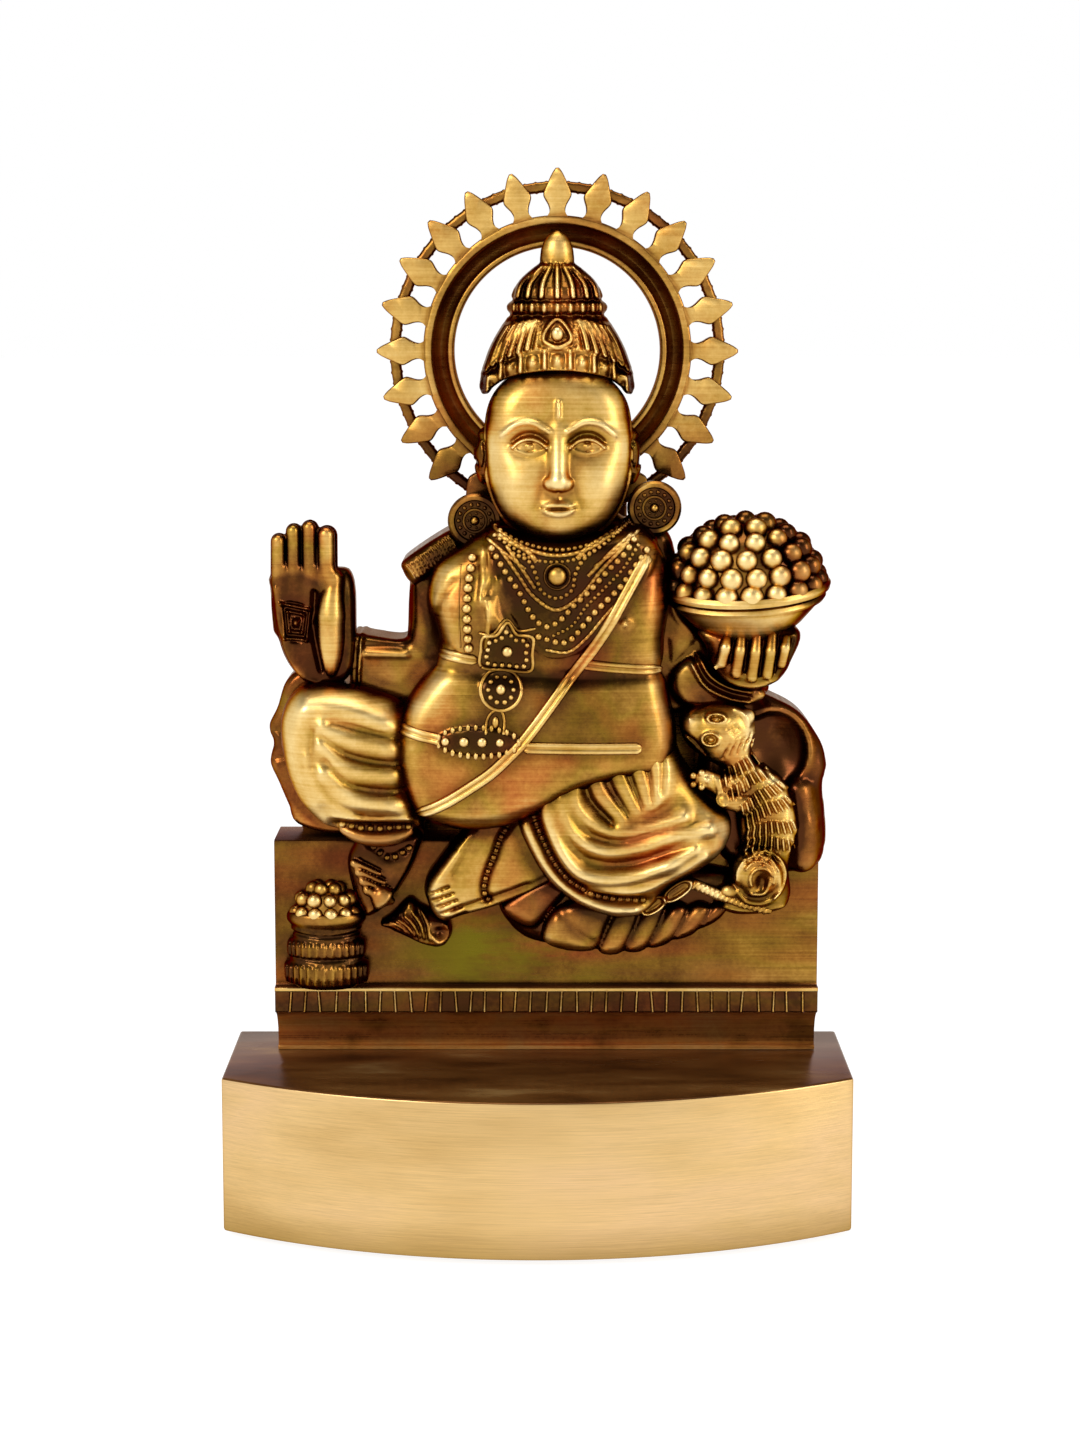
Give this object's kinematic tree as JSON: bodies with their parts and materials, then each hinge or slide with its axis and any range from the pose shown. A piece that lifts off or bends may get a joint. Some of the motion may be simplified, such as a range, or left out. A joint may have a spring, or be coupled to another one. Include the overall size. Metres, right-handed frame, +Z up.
{
  "type": "seated deity idol",
  "caption": "Cast metal idol of a seated pot-bellied deity with halo ring, raised hand, bowl of jewels, mongoose and offering pot, on a throne block and a hollow bowed-front base",
  "frame": {"origin": "middle of the bounding box, on the surface the idol stands on", "axes": "+X to the viewer's right, -Y towards the viewer, +Z up"},
  "size_m": [0.0636, 0.029, 0.1069],
  "materials": {
    "brushed_base": "satin, brushed sideways",
    "antique_brass": "buffed over a dark patina",
    "halo_brass": "brushed faces, dark channel",
    "jewel_brass": "bright beads in a dark patina",
    "steel": "zinc plated",
    "foam": "matt"
  },
  "bodies": {
    "root": {"base_shell": "brushed_base", "bottom_cover": "steel", "foam_pad": "foam", "cover_screw_1": "steel", "cover_screw_2": "steel", "cover_screw_3": "steel", "cover_screw_4": "steel", "figure_screw_1": "steel", "figure_screw_2": "steel", "throne_block": "antique_brass", "halo_ring": "halo_brass", "halo_rivet_1": "steel", "halo_rivet_2": "steel", "left_earring": "jewel_brass", "right_earring": "jewel_brass", "crown": "jewel_brass", "head": "antique_brass", "pendant_chain": "jewel_brass", "waist_belt": "antique_brass", "sacred_thread": "antique_brass", "sacred_thread_end": "antique_brass", "collar_necklace": "jewel_brass", "chest_band_left": "antique_brass", "chest_band_right": "antique_brass", "jewel_bowl": "antique_brass", "bowl_jewels": "jewel_brass", "bowl_hand": "antique_brass", "mongoose": "antique_brass", "coin_string": "jewel_brass", "folded_foot": "antique_brass", "folded_leg": "antique_brass", "raised_hand": "antique_brass", "raised_knee": "antique_brass", "raised_foot": "antique_brass", "torso": "antique_brass", "left_arm": "antique_brass", "right_arm": "antique_brass", "pot_jewels": "jewel_brass", "offering_pot": "jewel_brass", "foot_lotus": "antique_brass", "seat_cushion": "antique_brass", "big_bolster": "antique_brass", "small_bolster": "antique_brass"}
  },
  "joints": []
}
